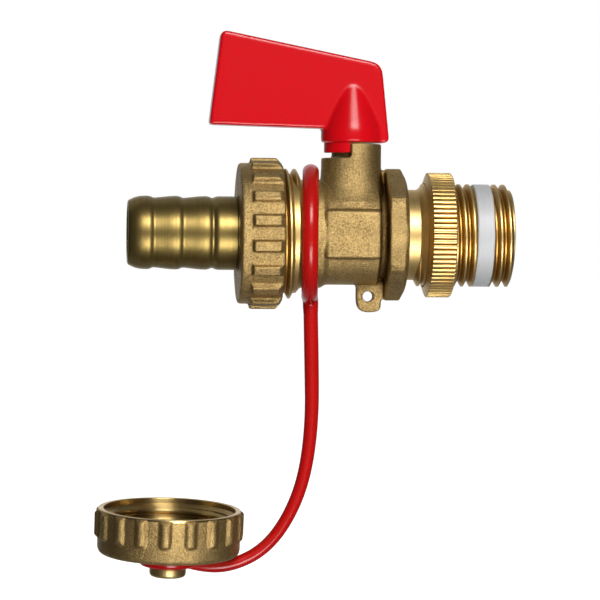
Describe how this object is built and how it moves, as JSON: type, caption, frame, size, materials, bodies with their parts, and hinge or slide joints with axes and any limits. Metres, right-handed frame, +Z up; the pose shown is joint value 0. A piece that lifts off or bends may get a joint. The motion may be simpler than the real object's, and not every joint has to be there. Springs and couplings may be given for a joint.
{
  "type": "drain cock",
  "caption": "Brass boiler fill and drain ball valve with a red wing lever, threaded inlet with lock ring and seal, hose tail on a union nut, and a blanking cap on a strap.",
  "frame": {"origin": "on the waterway's axis, midway along the inlet thread's seal ring", "axes": "+X along the waterway and out of the inlet thread, +Z up through the stem to the lever, +Y to the back of the picture"},
  "size_m": [0.0842, 0.0313, 0.1109],
  "materials": {
    "forged_brass": "sand-blasted forging",
    "turned_brass": "bright turned",
    "polished_brass": "smooth polished",
    "chrome_ball": "plated",
    "ptfe": "smooth white",
    "seal_rubber": "matt",
    "red_handle": "glossy",
    "red_strap": "soft sheen"
  },
  "bodies": {
    "valve": {"valve_body": "forged_brass", "ball_seat_inlet": "ptfe", "ball_seat_outlet": "ptfe", "seat_retainer": "turned_brass", "stem_thrust_washer": "ptfe", "thread_seal_ring": "ptfe"},
    "lever": {"handle": "red_handle", "stem": "turned_brass", "stem_o_ring_lower": "seal_rubber", "stem_o_ring_upper": "seal_rubber", "ball": "chrome_ball"},
    "tail": {"hose_tail": "polished_brass", "hose_washer": "seal_rubber"},
    "nut": {"union_nut": "forged_brass"},
    "locking_ring": {"lock_ring": "turned_brass"},
    "strap": {"cap_strap": "red_strap"},
    "blanking_cap": {"cap": "forged_brass", "cap_seal": "seal_rubber"}
  },
  "joints": [
    {"name": "handle_turn", "type": "hinge", "parent": "valve", "child": "lever", "pos_m": [-0.02655, 0, 0], "axis": [0, 0, -1], "range_deg": [0, 90]},
    {"name": "tail_slide", "type": "slide", "parent": "valve", "child": "tail", "axis": [-1, 0, 0], "range_m": [0, 0.0036]},
    {"name": "nut_turn", "type": "hinge", "parent": "tail", "child": "nut", "pos_m": [-0.045, 0, 0], "axis": [-1, 0, 0], "range_deg": [0, 714]},
    {"name": "lock_ring_turn", "type": "hinge", "parent": "valve", "child": "locking_ring", "pos_m": [-0.0089, 0, 0], "axis": [1, 0, 0], "continuous": true},
    {"name": "strap_swing", "type": "hinge", "parent": "valve", "child": "strap", "pos_m": [-0.0344, 0, 0], "axis": [0.9962, -0.0872, 0], "range_deg": [-150, 150]},
    {"name": "cap_spin", "type": "hinge", "parent": "strap", "child": "blanking_cap", "pos_m": [-0.06308, 0, -0.06522], "axis": [0.0209, -0.0784, 0.9967], "continuous": true}
  ],
  "couplings": [
    {"joint": "tail_slide", "follows": "nut_turn", "m_per_rad": 0.00028871}
  ]
}
